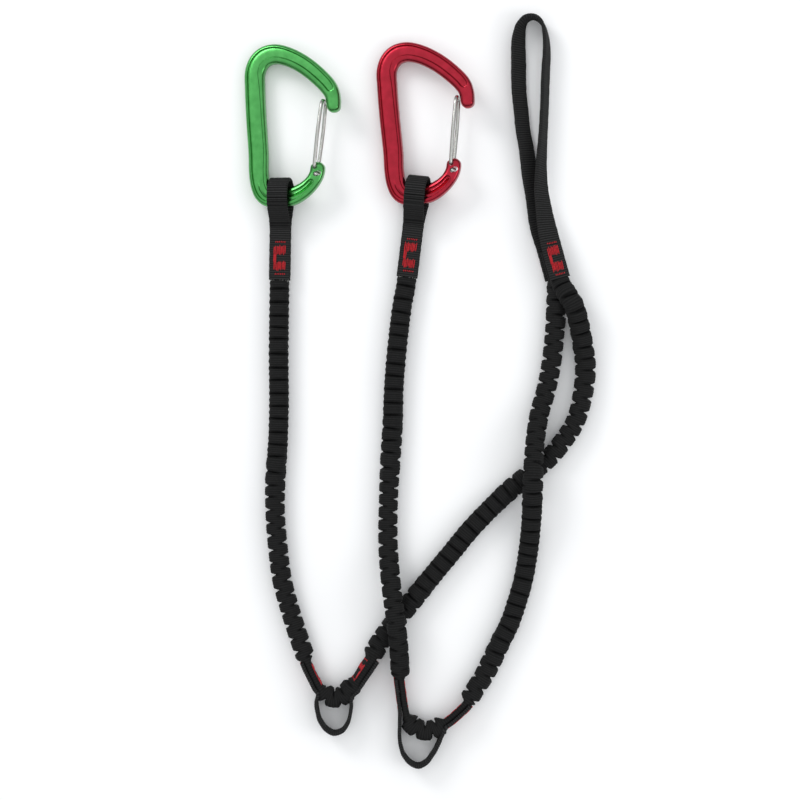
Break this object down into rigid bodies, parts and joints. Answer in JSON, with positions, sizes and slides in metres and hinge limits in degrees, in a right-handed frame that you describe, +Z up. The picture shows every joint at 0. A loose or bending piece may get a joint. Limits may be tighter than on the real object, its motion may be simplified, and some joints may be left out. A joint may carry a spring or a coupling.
{
  "type": "twin elasticated tool leash",
  "caption": "Elasticated webbing leash with gathered arms, a wire-gate carabiner on each arm, clip loops halfway and a long tie-in loop.",
  "frame": {"origin": "on the table, under the middle of the box around the hardware, slings and loops; the two elasticated arms are left out of that box", "axes": "+Z up from the table the leash lies on, +Y towards the crowns of the carabiners and the top of the tie-in loop, +X towards the tie-in loop's side"},
  "size_m": [0.1747, 0.3758, 0.0194],
  "materials": {
    "green_anodised_aluminium": "gloss anodised",
    "red_anodised_aluminium": "gloss anodised",
    "stainless_wire": "drawn and polished",
    "black_webbing": "ribbed tubular weave",
    "gathered_sleeve": "gathered tubular weave",
    "elastic": "flat rubber",
    "red_thread": "bonded polyester thread"
  },
  "bodies": {
    "leash": {"green_carabiner_sling": "black_webbing", "green_sling_bartack_front": "red_thread", "green_sling_bartack_back": "red_thread", "green_arm_sleeve": "gathered_sleeve", "green_elastic_core": "elastic", "green_clip_loop": "black_webbing", "green_clip_bartack_upper_outer": "red_thread", "green_clip_bartack_upper_inner": "red_thread", "green_clip_bartack_lower_outer": "red_thread", "green_clip_bartack_lower_inner": "red_thread", "red_carabiner_sling": "black_webbing", "red_sling_bartack_front": "red_thread", "red_sling_bartack_back": "red_thread", "red_arm_sleeve": "gathered_sleeve", "red_elastic_core": "elastic", "red_clip_loop": "black_webbing", "red_clip_bartack_upper_outer": "red_thread", "red_clip_bartack_upper_inner": "red_thread", "red_clip_bartack_lower_outer": "red_thread", "red_clip_bartack_lower_inner": "red_thread", "tie_in_loop": "black_webbing", "tie_in_bartack_front": "red_thread", "tie_in_bartack_back": "red_thread"},
    "green_carabiner": {"green_carabiner_body": "green_anodised_aluminium"},
    "green_gate": {"green_wire_gate": "stainless_wire"},
    "red_carabiner": {"red_carabiner_body": "red_anodised_aluminium"},
    "red_gate": {"red_wire_gate": "stainless_wire"}
  },
  "joints": [
    {"name": "green_carabiner_swing", "type": "hinge", "parent": "leash", "child": "green_carabiner", "pos_m": [-0.06198, 0.09599, 0.00884], "axis": [0.9781, 0.0049, 0.2079], "range_deg": [-60, 60]},
    {"name": "green_gate_opening", "type": "hinge", "parent": "green_carabiner", "child": "green_gate", "pos_m": [-0.04407, 0.11031, 0.01231], "axis": [-0.2079, 0.023, 0.9779], "range_deg": [0, 28], "stiffness_Nm_per_rad": 0.05, "springref_deg": -28.65},
    {"name": "red_carabiner_swing", "type": "hinge", "parent": "leash", "child": "red_carabiner", "pos_m": [0.006, 0.09719, 0.00884], "axis": [0.9774, 0.039, 0.2079], "range_deg": [-60, 60]},
    {"name": "red_gate_opening", "type": "hinge", "parent": "red_carabiner", "child": "red_gate", "pos_m": [0.0234, 0.11213, 0.01231], "axis": [-0.2086, 0.0157, 0.9779], "range_deg": [0, 28], "stiffness_Nm_per_rad": 0.05, "springref_deg": -28.65}
  ]
}
